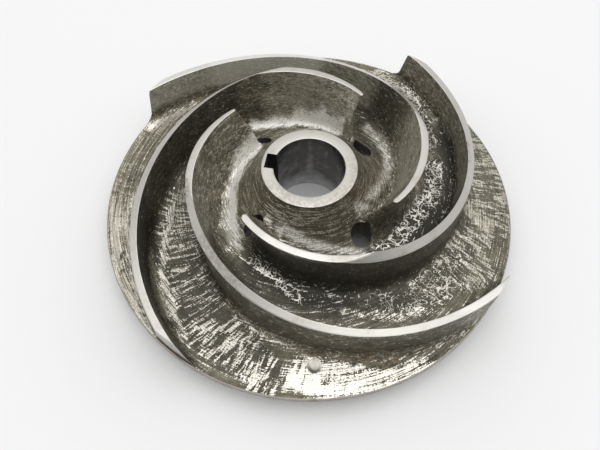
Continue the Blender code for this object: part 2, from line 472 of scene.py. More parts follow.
def zipChains(left, right, tolerance, faces):
    # left and right: (share, vertex, zone) lists whose ends belong together
    i = j = 0
    while i + 1 < len(left) or j + 1 < len(right):
        nextLeft = left[i + 1][0] if i + 1 < len(left) else inf
        nextRight = right[j + 1][0] if j + 1 < len(right) else inf
        if abs(nextLeft - nextRight) <= tolerance:
            corners = (left[i], left[i + 1], right[j + 1], right[j])
            zone = segmentZone(left[i][2], left[i + 1][2])
            i, j = i + 1, j + 1
        elif nextLeft < nextRight:
            corners = (left[i], left[i + 1], right[j])
            zone = segmentZone(left[i][2], left[i + 1][2])
            i += 1
        else:
            corners = (left[i], right[j + 1], right[j])
            zone = segmentZone(right[j][2], right[j + 1][2])
            j += 1
        faces.append(([point[1] for point in corners], zone))


def shareAlong(chain):
    # chain of (order, vertex, zone, radius, height) to (share of its length, vertex, zone)
    lengths = [0.0]
    for before, after in zip(chain, chain[1:]):
        across, up = abs(after[3] - before[3]), abs(after[4] - before[4])
        lengths.append(lengths[-1] + across + zipping["heightWeight"] * up + zipping["leastLength"])
    return [(length / lengths[-1], point[1], point[2]) for length, point in zip(lengths, chain)]


def chainsBetween(station, shared):     # by turns what lies before a shared part, and the part
    chains, loose = [], []
    for name, points in station:
        if name in shared:
            chains.append(loose + points[:1])
            chains.append(points)
            loose = points[-1:]
        else:
            loose = loose + points
    chains.append(loose + chains[1][:1])
    return chains


def joinStations(here, there, faces):
    # lanes, hub and rim that both stations have go point to point, floor between them by its length
    names = [part[0] for part in there]
    shared = [part[0] for part in here if part[0] in names and part[0] not in ("gap", "end")]
    pairs = zip(chainsBetween(here, shared), chainsBetween(there, shared))
    for number, (left, right) in enumerate(pairs):
        if number % 2:                              # a shared part, matched by its order
            left, right = trimFin(shared[number // 2], left, right)
            zipChains([p[:3] for p in left], [p[:3] for p in right], zipping["sameOrder"], faces)
        elif len(left) > 1 or len(right) > 1:
            tolerance = zipping["sameShare"] / max(len(left), len(right))
            zipChains(shareAlong(left), shareAlong(right), tolerance, faces)


def trimFin(name, left, right):
    # ahead of the inlet edge a lane has no wall: leave out the wall points where the two meet
    if isinstance(name, int) and len(left) != len(right):
        short = min(left, right, key=len)
        feetOnly = len(short) == 2 * (vanes["filletSteps"] + 1)
        if feetOnly and short[-1][0] == sectionCount() - 1:
            orders = {point[0] for point in short}
            return [p for p in left if p[0] in orders], [p for p in right if p[0] in orders]
    return left, right


def placeStation(angle, vertices):
    ring = []
    for name, points in stationOutline(angle):
        placed = []
        for number, (order, radius, height, zone, twist) in enumerate(points):
            polar = radians(angle - twist)
            vertices.append((radius * cos(polar) * mm, radius * sin(polar) * mm, height * mm))
            match = order if isinstance(name, int) else float(number)
            placed.append((match, len(vertices) - 1, zone, radius, height))
        ring.append((name, placed))
    return ring


def buildBody():
    vertices, faces = [], []
    rings = [placeStation(angle, vertices) for angle in stationAngles()]
    for here, there in zip(rings, rings[1:] + rings[:1]):
        joinStations(here, there, faces)
    bm = bmesh.new()
    points = [bm.verts.new(place) for place in vertices]
    for corners, zone in faces:
        if len(set(corners)) < 3:
            continue
        try:
            face = bm.faces.new([points[number] for number in corners])
        except ValueError:                          # the same face twice, where two lanes meet
            continue
        face.material_index = zone
    bmesh.ops.remove_doubles(bm, verts=bm.verts, dist=casting["mergeWithin"] * mm)
    bmesh.ops.dissolve_degenerate(bm, edges=bm.edges, dist=casting["mergeWithin"] / 4 * mm)
    loose = [vertex for vertex in bm.verts if not vertex.link_faces]
    bmesh.ops.delete(bm, geom=loose, context="VERTS")
    bmesh.ops.recalc_face_normals(bm, faces=bm.faces)
    mesh = bpy.data.meshes.new("impeller")
    writeMesh(bm, mesh, "impeller mesh")
    return mesh


unevenness = {"wave": 0.30, "waveSize": 17.0, "grain": 0.12, "grainSize": 4.5}


def unevenCasting(mesh):
    # a sand casting is never quite even; the turned faces stay true
    cast = {zoneOf["cast"], zoneOf["back"]}
    free = set(range(len(mesh.vertices)))
    for polygon in mesh.polygons:
        if polygon.material_index not in cast:
            free.difference_update(polygon.vertices)
    moves = {}
    for number in free:
        vertex = mesh.vertices[number]
        place = vertex.co / mm
        wave = noise.noise(place / unevenness["waveSize"]) * unevenness["wave"]
        grain = noise.noise(place / unevenness["grainSize"]) * unevenness["grain"]
        moves[number] = vertex.normal * (wave + grain) * mm
    for number, move in moves.items():
        mesh.vertices[number].co += move


# drilled holes, the keyway and the spot that a drill left

drilling = {
    "sides": 48,
    "holeRadius": 7.5,
    # angle and distance from the axis
    "holes": ((41.0, 55.8), (129.5, 57.6), (222.0, 53.2), (311.5, 55.3)),
    "holeHeights": (2.0, 54.0),
    "keyWidth": 12.7,
    "keyDepth": 6.35,
    "keyAngle": 170.2,
    "keyStart": 4.0,
    "keyBeyond": 4.0,                   # how far the key cutter passes both hub faces
    "spotPlace": (131.0, 271.3),        # distance from the axis and angle
    "spotRadius": 4.6,
    "spotRings": ((-0.9, 0.3), (-0.55, 0.8), (0.3, 1.15)),   # height and share of the radius
    "edgeBreak": 0.4,
}


def around(radius, angle, height):
    polar = radians(angle)
    return Vector((radius * cos(polar), radius * sin(polar), height)) * mm


def closeLoops(bm, loops):              # walls from loop to loop and a face over each end
    for low, high in zip(loops, loops[1:]):
        for step in range(len(low)):
            after = (step + 1) % len(low)
            bm.faces.new((low[step], low[after], high[after], high[step]))
    bm.faces.new(loops[0][::-1])
    bm.faces.new(loops[-1])


def addPost(bm, rings):                 # a closed turned shape: rings of (centre, radius)
    angles = [step * 360 / drilling["sides"] for step in range(drilling["sides"])]
    closeLoops(bm, [[bm.verts.new(centre + around(radius, angle, 0.0)) for angle in angles]
                    for centre, radius in rings])


def addKeyCutter(bm):
    reach = casting["boreRadius"] + drilling["keyDepth"]
    start, half = drilling["keyStart"], drilling["keyWidth"] / 2
    turn = Matrix.Rotation(radians(drilling["keyAngle"]), 4, "Z")
    loops = []
    for level in (-drilling["keyBeyond"], casting["hubFaceHeight"] + drilling["keyBeyond"]):
        corners = ((start, -half), (reach, -half), (reach, half), (start, half))
        loops.append([bm.verts.new(turn @ Vector((x, y, level)) * mm) for x, y in corners])
    closeLoops(bm, loops)


def cutterMesh():
    bm = bmesh.new()
    for angle, radius in drilling["holes"]:
        ends = [around(radius, angle, height) for height in drilling["holeHeights"]]
        addPost(bm, [(end, drilling["holeRadius"]) for end in ends])
    radius, angle = drilling["spotPlace"]
    addPost(bm, [(around(radius, angle, casting["rimFront"] + level), drilling["spotRadius"] * share)
                 for level, share in drilling["spotRings"]])
    addKeyCutter(bm)
    bmesh.ops.recalc_face_normals(bm, faces=bm.faces)
    mesh = bpy.data.meshes.new("drills")
    bm.to_mesh(mesh)
    bm.free()
    return mesh


def drillBody(body):
    cutter = bpy.data.objects.new("drills", cutterMesh())
    for material in body.data.materials:
        cutter.data.materials.append(material)
    for polygon in cutter.data.polygons:            # the spot near the rim is as bright as a turned face
        farOut = polygon.center.xy.length > back["ringOuter"] * mm
        polygon.material_index = zoneOf["turned" if farOut else "drilled"]
    bpy.context.scene.collection.objects.link(cutter)
    cut = body.modifiers.new("drilled", "BOOLEAN")
    cut.operation, cut.solver, cut.object = "DIFFERENCE", "EXACT", cutter
    applyModifiers(body)
    bpy.data.objects.remove(cutter, do_unlink=True)
    breakDrilledEdges(body.data)


def applyModifiers(body):
    ready = body.evaluated_get(bpy.context.evaluated_depsgraph_get())
    mesh = bpy.data.meshes.new_from_object(ready)
    body.modifiers.clear()
    body.data = mesh


def breakDrilledEdges(mesh):
    bm = bmesh.new()
    bm.from_mesh(mesh)
    edges = []
    for edge in bm.edges:
        zones = {face.material_index for face in edge.link_faces}
        if zoneOf["drilled"] in zones and len(zones) > 1:
            edges.append(edge)
    bmesh.ops.bevel(bm, geom=edges, offset=drilling["edgeBreak"] * mm, segments=2, profile=0.5,
                    affect="EDGES", clamp_overlap=True, material=zoneOf["turned"])
    writeMesh(bm, mesh, "drilled mesh")


# where the photographer's camera stands, in millimetres and degrees

view = {
    "target": (-6.54, -26.22, 20.0),
    "distance": 388.8,
    "elevation": 59.575,
    "roll": 0.2,
    "lens": 31.43,
    "sensor": 36.0,
    "imageSize": (600, 450),
}


def cameraMatrix():
    tilt, roll = radians(view["elevation"]), radians(view["roll"])
    ahead = Vector((0.0, cos(tilt), -sin(tilt)))
    side, up = Vector((1.0, 0.0, 0.0)), Vector((0.0, sin(tilt), cos(tilt)))
    right = side * cos(roll) + up * sin(roll)
    above = up * cos(roll) - side * sin(roll)
    turn = Matrix((right, above, -ahead)).transposed().to_4x4()
    place = Vector(view["target"]) * mm - ahead * view["distance"] * mm
    return Matrix.Translation(place) @ turn


def placesSeenAt(body, pixels):         # (x, y) in mm of what shows at these pixels of the photograph
    camera = cameraMatrix()
    width, height = view["imageSize"]
    away = view["lens"] / view["sensor"] * width
    places = []
    for across, down in pixels:
        towards = camera.to_3x3() @ Vector((across - width / 2, height / 2 - down, -away))
        place = body.ray_cast(camera.translation, towards.normalized())[0]
        if place:
            places.append((place.x / mm, place.y / mm))
    return places


# wear and painted light: where the casting is rubbed bright, scored, veined or rusty, and where shade, a
# shadow and highlights are painted on it

wearAndLight = {
    "start": {"tone": 0.45, "bare": 0.12, "shine": 0.6, "hatch": 0.0, "web": 0.0, "rust": 0.0, "pale": 0.0},
    "ragged": 2.2,
    "raggedSize": 7.0,
    "raggedFrom": 6.0,                  # narrower places have straighter edges
    "wall": (2.0, 7.0),                 # mm above the floor
    "high": (5.0, 12.0),
    "tip": (-1.0, -0.3),                # mm above the tips
    "heightSteps": (320, 0.5),          # count and spacing of the radii where heights are worked out
}


def paintedPlace(where, halfWidth, softness=0.5, along=(), **levels):
    # half width in mm; along its middle it passes these pixels of the photograph
    return where, halfWidth, softness, along, levels


paintedPlaces = {
    "hub slope": paintedPlace("any", 12, tone=0.42, bare=0.29, shine=1.1, rust=0.4, along=(
        (262, 205), (290, 222), (330, 226), (362, 205), (372, 165))),
    "hub slope top": paintedPlace("any", 8, tone=0.62, bare=0.28, shine=0.9, along=(
        (250, 165), (255, 140), (300, 126), (355, 135), (372, 165))),
    "hub left": paintedPlace("any", 6, tone=0.62, bare=0.2, along=((250, 150), (250, 180), (252, 205))),
    "inner wall D top": paintedPlace("wall", 9, 0.9, tone=0.86, bare=0.27, shine=0.35, pale=0.12, along=(
        (352, 112), (330, 95), (300, 88), (275, 91))),
    "inner wall D gap": paintedPlace("any", 9, 0.8, tone=0.2, bare=0.03, along=(
        (225, 98), (205, 115), (185, 135), (165, 165), (150, 200), (143, 240))),
    "inner wall D left": paintedPlace("any", 9, 0.4, tone=0.04, bare=0, along=(
        (150, 200), (143, 240), (147, 290), (160, 322), (176, 348))),
    "floor D gap": paintedPlace("any", 9, 0.6, tone=0.26, bare=0.06, along=(
        (215, 120), (195, 145), (182, 165), (172, 185), (160, 205))),
    "inner wall A": paintedPlace("wall", 9, 0.4, tone=0.55, bare=0.2, along=(
        (225, 120), (208, 140), (200, 175), (202, 215), (215, 250))),
    "inner wall A low": paintedPlace("wall", 9, 0.4, tone=0.15, bare=0, along=(
        (222, 250), (255, 290), (300, 313), (350, 325), (420, 318), (470, 300))),
    "foot A low": paintedPlace("floor", 6, tone=0.25, bare=0.04, along=(
        (222, 258), (250, 283), (280, 300), (320, 312), (380, 315))),
    # painted shade: darker in the narrow valley beside the inlet edge of vane D, in this row and the next
    "inner wall C painted shade": paintedPlace("any", 16, 0.6, tone=0.22, bare=0.05, along=(
        (363, 96), (366, 90), (376, 104), (382, 120))),
    "nose D painted shade": paintedPlace("any", 7, 0.8, tone=0.13, bare=0.03, along=((360, 104), (362, 110), (364, 124))),
    "inner wall C": paintedPlace("wall", 9, 0.9, tone=0.85, bare=0.2, shine=0.3, pale=0.26, along=(
        (412, 128), (413, 150), (408, 172), (397, 190))),
    "inner wall B": paintedPlace("any", 9, tone=0, bare=0, along=(
        (455, 110), (462, 150), (458, 190), (440, 215), (415, 235))),
    "inner wall B top": paintedPlace("wall", 9, tone=0.36, bare=0.12, along=((405, 80), (430, 95), (450, 120))),
    # painted light: the upper part of wall B is made paler
    "inner wall B high": paintedPlace("high", 8, 0.6, tone=0.55, bare=0.22, shine=0.3, pale=0.12, along=(
        (408, 72), (432, 88), (452, 110), (466, 145), (468, 180))),
    "outer wall B": paintedPlace("any", 7, tone=0.16, bare=0, along=(
        (262, 250), (300, 268), (350, 275), (400, 265), (440, 240), (462, 215))),
    "outer floor B dark": paintedPlace("floor", 6, tone=0.12, bare=0.02, along=(
        (262, 258), (290, 278), (330, 283), (372, 282), (400, 275))),
    "outer wall A": paintedPlace("wall", 9, tone=0.3, bare=0.04, along=(
        (215, 272), (240, 305), (280, 335), (330, 350), (390, 352), (450, 340), (480, 325))),
    # painted light: the upper parts of wall C are made paler, most near its top, in this row and the next
    # three
    "upper wall C": paintedPlace("wall", 9, tone=0.42, bare=0.1, pale=0.12, along=(
        (170, 95), (200, 80), (240, 68), (300, 62))),
    "upper wall C high": paintedPlace("high", 9, 0.7, tone=0.8, bare=0.3, shine=0.2, pale=0.66, along=(
        (152, 100), (175, 85), (200, 74), (225, 68))),
    "upper wall C top": paintedPlace("high", 9, 0.9, tone=0.8, bare=0.3, shine=0.3, pale=1.4, along=(
        (225, 68), (250, 63), (300, 58), (320, 62))),
    "upper wall C end": paintedPlace("high", 9, 0.9, tone=0.7, bare=0.2, pale=0.4, along=(
        (330, 68), (350, 74), (366, 82))),
    "hatch left": paintedPlace("floor", 20, 0.2, hatch=1, bare=0.34, shine=0.45, tone=0.14, along=(
        (182, 212), (182, 240), (188, 270), (200, 300), (215, 330), (235, 350))),
    "hatch left top": paintedPlace("floor", 10, 0.6, hatch=0.8, bare=0.52, shine=0.3, tone=0.3, along=(
        (180, 200), (176, 225), (176, 245))),
    "hatch left foot": paintedPlace("floor", 6, hatch=0.9, bare=0.4, shine=0.5, tone=0.14, along=(
        (192, 215), (200, 245), (212, 265), (225, 290))),
    "hatch low": paintedPlace("floor", 16, 0.4, hatch=1, bare=0.49, shine=0.6, tone=0.14, along=(
        (218, 345), (240, 362), (262, 375))),
    "band D": paintedPlace("floor", 1.7, 0.6, hatch=0, bare=0.75, shine=0.3, tone=0.6, along=(
        (184, 190), (173, 210), (166, 235), (163, 262), (166, 290), (175, 318), (186, 338))),
    "edge low left": paintedPlace("any", 3.5, 0.6, hatch=0.2, bare=0.25, tone=0.4, along=(
        (168, 330), (185, 350), (215, 372), (240, 384))),
    "bright bottom": paintedPlace("floor", 12, 0.4, hatch=0.6, bare=0.8, shine=1, tone=0.3, along=(
        (304, 374), (330, 380), (365, 377))),
    "bright bottom right": paintedPlace("floor", 6, hatch=0.3, bare=0.66, shine=0.8, tone=0.3, along=(
        (355, 380), (400, 375), (430, 365))),
    "brown fringe": paintedPlace("floor", 4.5, hatch=0, web=0.3, bare=0.5, tone=0.36, rust=0.9, along=(
        (225, 280), (245, 305), (272, 330), (300, 346))),
    "brown fringe low": paintedPlace("floor", 4.5, hatch=0, web=0.3, bare=0.24, tone=0.26, rust=0.9, along=(
        (308, 349), (335, 354), (375, 360), (400, 360))),
    "right corner": paintedPlace("floor", 8, hatch=0, bare=0.25, tone=0.4, along=(
        (440, 350), (470, 332), (484, 322))),
    "outer left": paintedPlace("floor", 22, 0.25, hatch=0, bare=0.76, shine=0.15, tone=0.78, along=(
        (118, 200), (115, 240), (122, 275), (140, 305))),
    "outer left top": paintedPlace("floor", 18, 0.4, hatch=0.45, bare=0.38, shine=0.15, tone=0.5, along=(
        (150, 125), (133, 150), (122, 180))),
    "pit 1": paintedPlace("floor", 1.3, 0.4, bare=0, tone=0.1, along=((121, 256), (121, 259))),
    "pit 2": paintedPlace("floor", 1.2, 0.4, bare=0, tone=0.1, along=((122, 270), (122, 272))),
    "upper left brown": paintedPlace("floor", 9, hatch=0, bare=0.7, tone=0.66, rust=0.8, along=(
        (235, 78), (205, 95), (175, 112), (155, 122))),
    "upper left bright": paintedPlace("floor", 2.6, 0.6, web=0.3, bare=0.8, rust=0.35, shine=0.9, along=(
        (212, 98), (190, 108), (170, 118), (150, 128))),
    "upper left fillet": paintedPlace("floor", 5, bare=0.1, tone=0.35, along=((215, 85), (190, 93), (160, 104))),
    "web right": paintedPlace("floor", 7, 0.4, web=1, bare=0.5, tone=0.08, shine=1.3, along=(
        (434, 165), (434, 190), (424, 205), (410, 225), (397, 240))),
    "web right up": paintedPlace("floor", 4, web=0.9, bare=0.4, tone=0.2, shine=1, along=(
        (405, 85), (420, 105), (428, 125), (433, 150))),
    "top right floor": paintedPlace("floor", 4, web=0.6, bare=0.68, tone=0.42, rust=0.15, along=(
        (375, 72), (390, 82), (403, 92), (415, 105))),
    "web right low": paintedPlace("floor", 4, web=0.9, bare=0.5, tone=0.14, shine=1.2, along=(
        (408, 225), (395, 240), (375, 249))),
    "web left top": paintedPlace("floor", 9, web=0, bare=0.08, tone=0.04, along=(
        (256, 262), (280, 280), (300, 294), (330, 300), (350, 302))),
    "web left": paintedPlace("floor", 2.3, web=1, bare=0.6, tone=0.1, shine=1.3, along=(
        (250, 259), (268, 273), (280, 284), (291, 296), (303, 303))),
    "web left 2": paintedPlace("floor", 1.3, web=1, bare=0.46, tone=0.04, shine=1.2, along=(
        (268, 273), (282, 278), (294, 288), (303, 300))),
    "web middle": paintedPlace("floor", 1.2, web=1, bare=0.22, tone=0.02, shine=0.7, along=(
        (312, 301), (320, 297), (330, 295), (342, 298), (354, 299), (370, 295), (384, 289))),
    "web bottom": paintedPlace("floor", 11, 0.4, web=1, bare=0.13, tone=0.14, shine=0.9, along=(
        (370, 305), (395, 305), (420, 300), (440, 290))),
    "web bottom light": paintedPlace("floor", 7, web=0.6, hatch=0.5, bare=0.45, tone=0.3, along=(
        (420, 285), (440, 270), (452, 258))),
    "web bottom rim": paintedPlace("floor", 3.2, web=0.3, bare=0.48, tone=0.4, along=(
        (345, 312), (375, 316), (405, 317), (435, 308))),
    "hatch right": paintedPlace("floor", 15, 0.3, hatch=1, bare=0.49, shine=0.22, tone=0.32, along=(
        (478, 150), (490, 180), (492, 215), (485, 250), (472, 275))),
    "hatch right low": paintedPlace("floor", 12, 0.4, hatch=0.9, bare=0.46, shine=0.35, tone=0.22, along=(
        (462, 240), (450, 265), (435, 285))),
    "smooth right": paintedPlace("floor", 5, 0.6, hatch=0.25, bare=0.7, shine=0.15, tone=0.6, along=(
        (468, 207), (480, 217), (488, 226))),
    "hatch dark right": paintedPlace("floor", 5, bare=0.42, along=((483, 170), (492, 180))),
    "foot right": paintedPlace("floor", 4, 0.6, hatch=0.3, bare=0.42, rust=0.25, along=(
        (462, 165), (458, 195), (448, 215))),
    "right tip floor": paintedPlace("floor", 6, 0.6, hatch=0.2, bare=0.25, tone=0.35, along=(
        (497, 262), (503, 245))),
    # rubbed bright bands round the hub, with a painted highlight: pale over 1 makes them nearly white
    "rub top": paintedPlace("any", 2.6, bare=0.96, shine=1.2, tone=0.9, pale=1.4, along=(
        (253, 126), (275, 123), (300, 120.5), (322, 123.5), (340, 131))),
    "rub top end": paintedPlace("any", 2.2, 0.6, bare=0.7, along=((338, 128), (352, 137))),
    "rub left": paintedPlace("any", 3.7, 0.45, shine=1.3, bare=0.86, tone=0.7, pale=1.6, along=(
        (256, 146), (245, 158), (238, 170), (235, 182), (233, 195), (232, 210), (232, 225), (236, 238))),
    "rub left outer": paintedPlace("any", 1.6, 0.6, shine=1, bare=0.52, tone=0.6, pale=0.8, along=(
        (232, 175), (228, 190), (225, 205), (225, 220), (230, 236), (240, 250))),
    "rub right": paintedPlace("any", 3.2, 0.7, bare=0.46, shine=0.9, tone=0.65, pale=0.6, along=(
        (366, 128), (379, 140), (386, 155), (387, 170), (381, 184), (372, 197))),
    "rub right low": paintedPlace("any", 2, 0.6, bare=0.6, shine=1, tone=0.5, pale=0.9, along=(
        (378, 190), (368, 202), (358, 212))),
    "rub bottom": paintedPlace("any", 2.2, 0.6, bare=0.5, tone=0.4, shine=1, pale=0.9, along=(
        (285, 228), (296, 236), (310, 243), (335, 249), (362, 252))),
    "rub bottom left": paintedPlace("any", 1.6, 0.6, bare=0.62, shine=1, rust=0.4, pale=0.9, along=(
        (266, 218), (274, 226), (280, 233))),
    "rust hub": paintedPlace("any", 3.6, 0.7, rust=0.9, along=((264, 205), (266, 214), (271, 222))),
    "rust top": paintedPlace("any", 1.8, 0.7, rust=0.9, along=((261, 127), (264, 130))),
    "tip stain A": paintedPlace("tip", 2.5, 0.7, rust=0.8, along=((212, 255), (218, 270), (222, 280))),
    "tip stain A2": paintedPlace("tip", 1.5, 0.7, rust=0.9, along=((233, 281), (237, 285))),
    "tip stain A3": paintedPlace("tip", 2, 0.7, rust=0.5, along=((186, 180), (187, 195))),
    "tip stain B": paintedPlace("tip", 2, 0.7, rust=0.6, along=((463, 150), (465, 165))),
    "tip bright B": paintedPlace("tip", 5, 0.9, pale=0.35, along=((268, 240), (290, 252), (318, 258))),
    "tip bright A": paintedPlace("tip", 5, 0.6, pale=0.35, along=((430, 320), (480, 303), (500, 291))),
    # painted shadow: a brownish darker band on the tip of vane A
    "tip A painted shadow": paintedPlace("tip", 5, 0.8, rust=0.3, along=((203, 245), (215, 265), (232, 290))),
    "spot": paintedPlace("floor", 3, 0.6, rust=0.35, along=((310, 366), (312, 367))),
}


def smoothShare(values, start, end):
    share = numpy.clip((values - start) / (end - start), 0.0, 1.0)
    return share * share * (3.0 - 2.0 * share)


def distanceToLine(x, y, line):         # shortest way in mm from each mesh point, seen from above
    nearest = numpy.full(len(x), inf)
    for (startX, startY), (endX, endY) in zip(line, line[1:]):
        alongX, alongY = endX - startX, endY - startY
        length = max(alongX * alongX + alongY * alongY, 1e-6)      # never 0
        share = numpy.clip(((x - startX) * alongX + (y - startY) * alongY) / length, 0.0, 1.0)
        away = numpy.hypot(x - startX - share * alongX, y - startY - share * alongY)
        nearest = numpy.minimum(nearest, away)
    return nearest


def heightsAt(distances, heightOf):
    count, spacing = wearAndLight["heightSteps"]
    radii = numpy.arange(count) * spacing
    return numpy.interp(distances, radii, [heightOf(radius) for radius in radii])


def paintWearAndLight(mesh):
    count = len(mesh.vertices)
    places = numpy.empty(count * 3)
    mesh.vertices.foreach_get("co", places)
    x, y, z = (places.reshape(count, 3) / mm).T
    distances = numpy.hypot(x, y)
    lift = z - heightsAt(distances, floorHeight)
    wall, high = smoothShare(lift, *wearAndLight["wall"]), smoothShare(lift, *wearAndLight["high"])
    tip = smoothShare(z - heightsAt(distances, tipHeight), *wearAndLight["tip"])
    shareOf = {"any": 1.0, "floor": 1.0 - wall, "wall": wall, "high": high, "tip": tip}
    size = wearAndLight["raggedSize"]
    ragged = numpy.array([noise.noise((a / size, b / size, c / size)) for a, b, c in zip(x, y, z)])
    body = BVHTree.FromPolygons([vertex.co for vertex in mesh.vertices],
                                [polygon.vertices for polygon in mesh.polygons])
    levels = {name: numpy.full(count, value) for name, value in wearAndLight["start"].items()}
    for where, halfWidth, softness, along, changes in paintedPlaces.values():
        reach = distanceToLine(x, y, placesSeenAt(body, along))
        reach += ragged * wearAndLight["ragged"] * min(halfWidth / wearAndLight["raggedFrom"], 1.0)
        weight = 1.0 - smoothShare(reach, halfWidth * (1.0 - softness), halfWidth * (1.0 + softness))
        weight *= shareOf[where]
        for channel, level in changes.items():
            levels[channel] += (level - levels[channel]) * weight
    for channel, values in levels.items():
        mesh.attributes.new(channel, "FLOAT", "POINT").data.foreach_set("value", values)
    print("wear painted: %d places" % len(paintedPlaces))


# node helpers

def newFinish(name):
    finish = bpy.data.materials.new(name)
    finish.use_nodes = True
    return finish, finish.node_tree, finish.node_tree.nodes["Principled BSDF"]


def feed(tree, socket, value):          # a link, or a fixed value on the socket
    if isinstance(value, bpy.types.NodeSocket):
        tree.links.new(value, socket)
    else:
        socket.default_value = value


def addNode(tree, kind, inputs=None, **settings):
    item = tree.nodes.new(kind)
    for name, value in settings.items():
        setattr(item, name, value)
    for name, value in (inputs or {}).items():
        feed(tree, item.inputs[name], value)
    return item


def calc(tree, operation, first, second=0.0, clamp=False):
    item = addNode(tree, "ShaderNodeMath", {0: first, 1: second}, operation=operation, use_clamp=clamp)
    return item.outputs[0]


def add(tree, first, second, clamp=False):
    return calc(tree, "ADD", first, second, clamp)


def multiply(tree, first, second, clamp=False):
    return calc(tree, "MULTIPLY", first, second, clamp)


def opaque(colour):
    return colour + (1.0,) if isinstance(colour, tuple) else colour


def mixColour(tree, share, first, second):
    inputs = {0: share, 6: opaque(first), 7: opaque(second)}
    return addNode(tree, "ShaderNodeMix", inputs, data_type="RGBA").outputs[2]


def blendValue(tree, share, first, second):
    return addNode(tree, "ShaderNodeMix", {0: share, 2: first, 3: second}).outputs[0]


def attribute(tree, name):
    return addNode(tree, "ShaderNodeAttribute", attribute_name=name).outputs["Fac"]


def ramp(tree, value, start, end, low=0.0, high=1.0):
    inputs = {"Value": value, "From Min": start, "From Max": end, "To Min": low, "To Max": high}
    return addNode(tree, "ShaderNodeMapRange", inputs, interpolation_type="SMOOTHSTEP").outputs["Result"]


def joinXyz(tree, x, y, z):
    return addNode(tree, "ShaderNodeCombineXYZ", {0: x, 1: y, 2: z}).outputs[0]


def noiseAt(tree, place, scale, detail=4.0, roughness=0.55):
    inputs = {"Vector": place, "Scale": scale, "Detail": detail, "Roughness": roughness}
    return addNode(tree, "ShaderNodeTexNoise", inputs).outputs["Fac"]


def placeInMm(tree):                    # place on the part in mm and its distance from the axis
    inMetres = addNode(tree, "ShaderNodeTexCoord").outputs["Object"]
    vector = addNode(tree, "ShaderNodeVectorMath", {0: inMetres, 3: 1.0 / mm}, operation="SCALE").outputs[0]
    x, y, z = addNode(tree, "ShaderNodeSeparateXYZ", {0: vector}).outputs[:3]
    radius = calc(tree, "SQRT", add(tree, multiply(tree, x, x), multiply(tree, y, y)))
    return {"vector": vector, "x": x, "y": y, "z": z, "radius": calc(tree, "MAXIMUM", radius, 1.0)}


brushing = {"radius": 80.0, "detail": 3.0, "roughness": 0.55}       # marks have their length at this radius


def brushMarks(tree, place, length, width):             # long round the axis, fine across it
    radius = place["radius"]
    turns = calc(tree, "DIVIDE", brushing["radius"] / length, radius)
    swept = joinXyz(tree, multiply(tree, place["x"], turns), multiply(tree, place["y"], turns),
                    calc(tree, "DIVIDE", radius, width))
    inputs = {"Vector": swept, "W": calc(tree, "DIVIDE", place["z"], width), "Scale": 1.0,
              "Detail": brushing["detail"], "Roughness": brushing["roughness"]}
    return addNode(tree, "ShaderNodeTexNoise", inputs, noise_dimensions="4D").outputs["Fac"]


def swing(tree, marks, gains):          # sum of marks by their gains, which swings about 0
    total = 0.0
    for name, gain in gains.items():
        total = add(tree, total, multiply(tree, calc(tree, "SUBTRACT", marks[name], 0.5), gain))
    return total


def ridge(tree, value, width):          # 1 along the lines where a noise crosses its middle
    return ramp(tree, calc(tree, "ABSOLUTE", calc(tree, "SUBTRACT", value, 0.5)), width, 0.0)


def addBump(tree, shader, height, depth, strength=0.6):
    bump = addNode(tree, "ShaderNodeBump", {"Height": height, "Distance": depth * mm, "Strength": strength})
    feed(tree, shader.inputs["Normal"], bump.outputs[0])


# the cast skin

castSkin = {
    "charcoal": (0.029, 0.0262, 0.018),
    "skin": (0.31, 0.285, 0.20),
    "dull": (0.335, 0.315, 0.25),
    "bare": (0.77, 0.745, 0.67),
    "rubbedAndHighlight": (0.98, 0.965, 0.91),      # the brightest places of the rubbed bands, with their painted highlight
    "rust": (0.19, 0.145, 0.082),
    "pale": (0.54, 0.515, 0.44),        # pale skin, also the painted light on the upper walls and rubbed bands
    # marks round the axis, length and width in mm
    "streaks": (30.0, 0.9),
    "broad": (60.0, 3.0),
    "flecks": (10.0, 0.9),
    "streakRange": (0.36, 0.64),
    # noises, scale and detail
    "grain": (1.0, 3.0),
    "mottle": (1.0 / 4.0, 3.0),
    "blotch": (1.0 / 11.0, 4.0),
    "rustSpots": (0.45, 4.0),
    "rustRange": (0.42, 0.62),
    "rustCover": 0.4,                   # how much of the bare metal rust hides
    "skinMetal": 0.45,
    "paleMetal": 0.3,                   # a paler place scatters light more than it mirrors it
    "skinRoughness": 0.44,
    "bareRoughness": 0.34,
    "bareRange": (0.43, 0.63),
    "bareRelief": 0.45,
    "bumpHeight": 0.22,
    # how strongly each kind of mark shows
    "gains": {
        "plain": {"streaks": 0.6, "flecks": 2.1, "grain": 1.4, "mottle": 0.5, "blotch": 0.5},
        "scored": {"bars": 2.1, "scratches": 1.1, "crossMarks": 1.4, "lines": 0.35, "grain": 0.8},
        "veined": {"veins": 1.05, "grain": 0.5, "mottle": 0.5},
        "tone": {"streaks": 0.8, "broad": 1.8, "mottle": 1.7, "blotch": 1.4, "grain": 1.5},
        "pale": {"broad": 1.2, "mottle": 1.4, "grain": 0.8},
        "shine": {"grain": 2.2, "flecks": 2.6, "mottle": 0.8},
        "relief": {"streaks": 0.3, "flecks": 0.8, "grain": 1.2, "broad": 1.0},
    },
}

hatching = {
    "slant": 0.27,
    "radius": 120.0,                    # widths are true at this radius
    "wander": 3.5,
    "wanderNoise": (0.10, 2.0),
    "detail": 2.0,
    # width and length square to the vanes in mm, and a layer of the noise for each
    "bars": (2.6, 15.0, 0.0),
    "scratches": (0.8, 8.0, 20.0),
    "crossMarks": (5.0, 0.7, 40.0),
    "lines": (4.5, 30.0, 60.0),
    "lineWidth": 0.07,
}

